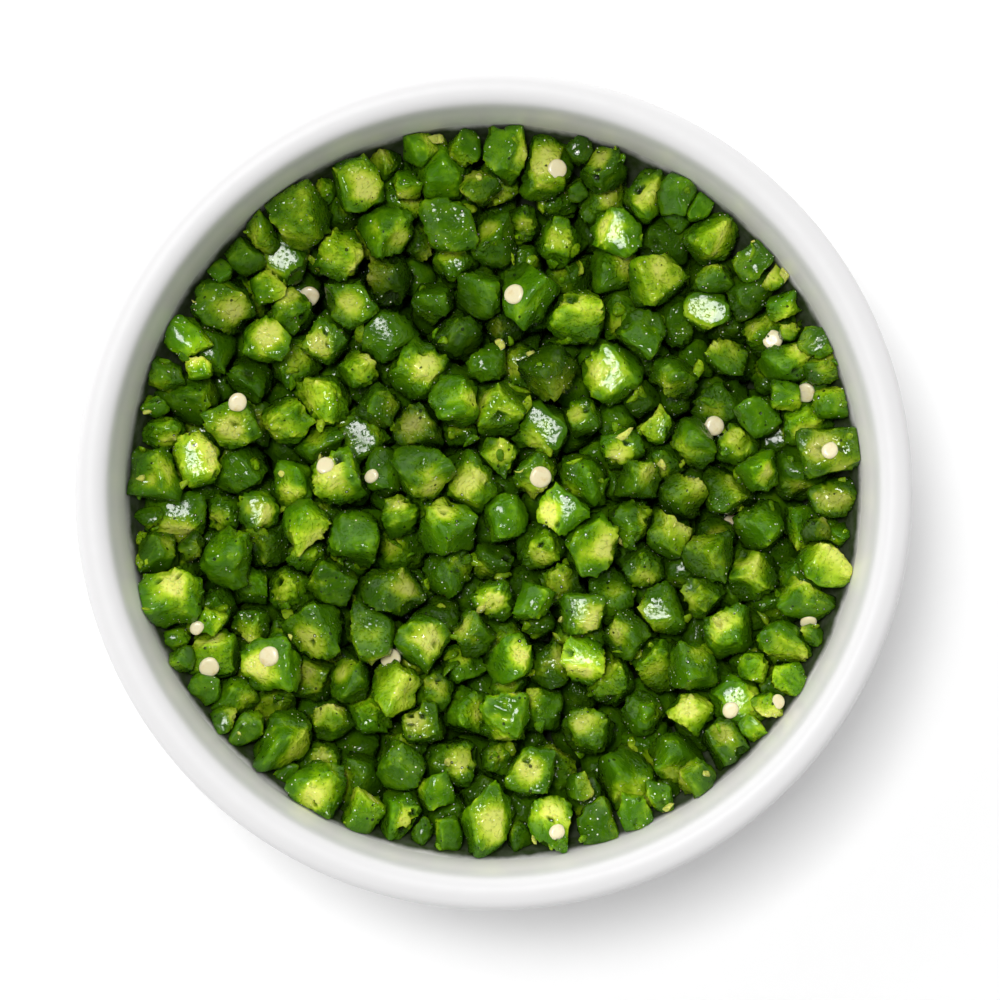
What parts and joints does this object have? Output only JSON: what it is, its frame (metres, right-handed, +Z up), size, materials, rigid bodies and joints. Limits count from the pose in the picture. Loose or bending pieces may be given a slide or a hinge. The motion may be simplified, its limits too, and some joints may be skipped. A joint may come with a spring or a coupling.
{
  "type": "bowl of diced serrano pepper",
  "caption": "Small round white porcelain bowl with a rolled rim and a foot ring, filled to just below the rim with fine dice of green chilli pepper and a few loose pale seeds.",
  "frame": {"origin": "middle of the foot ring, on the surface that the bowl stands on", "axes": "+Z up through the middle of the bowl, which is round about it"},
  "size_m": [0.108, 0.108, 0.044],
  "materials": {
    "porcelain": "gloss",
    "pepper": "gloss"
  },
  "bodies": {
    "root": {"bowl": "porcelain", "diced_pepper": "pepper"}
  },
  "joints": []
}
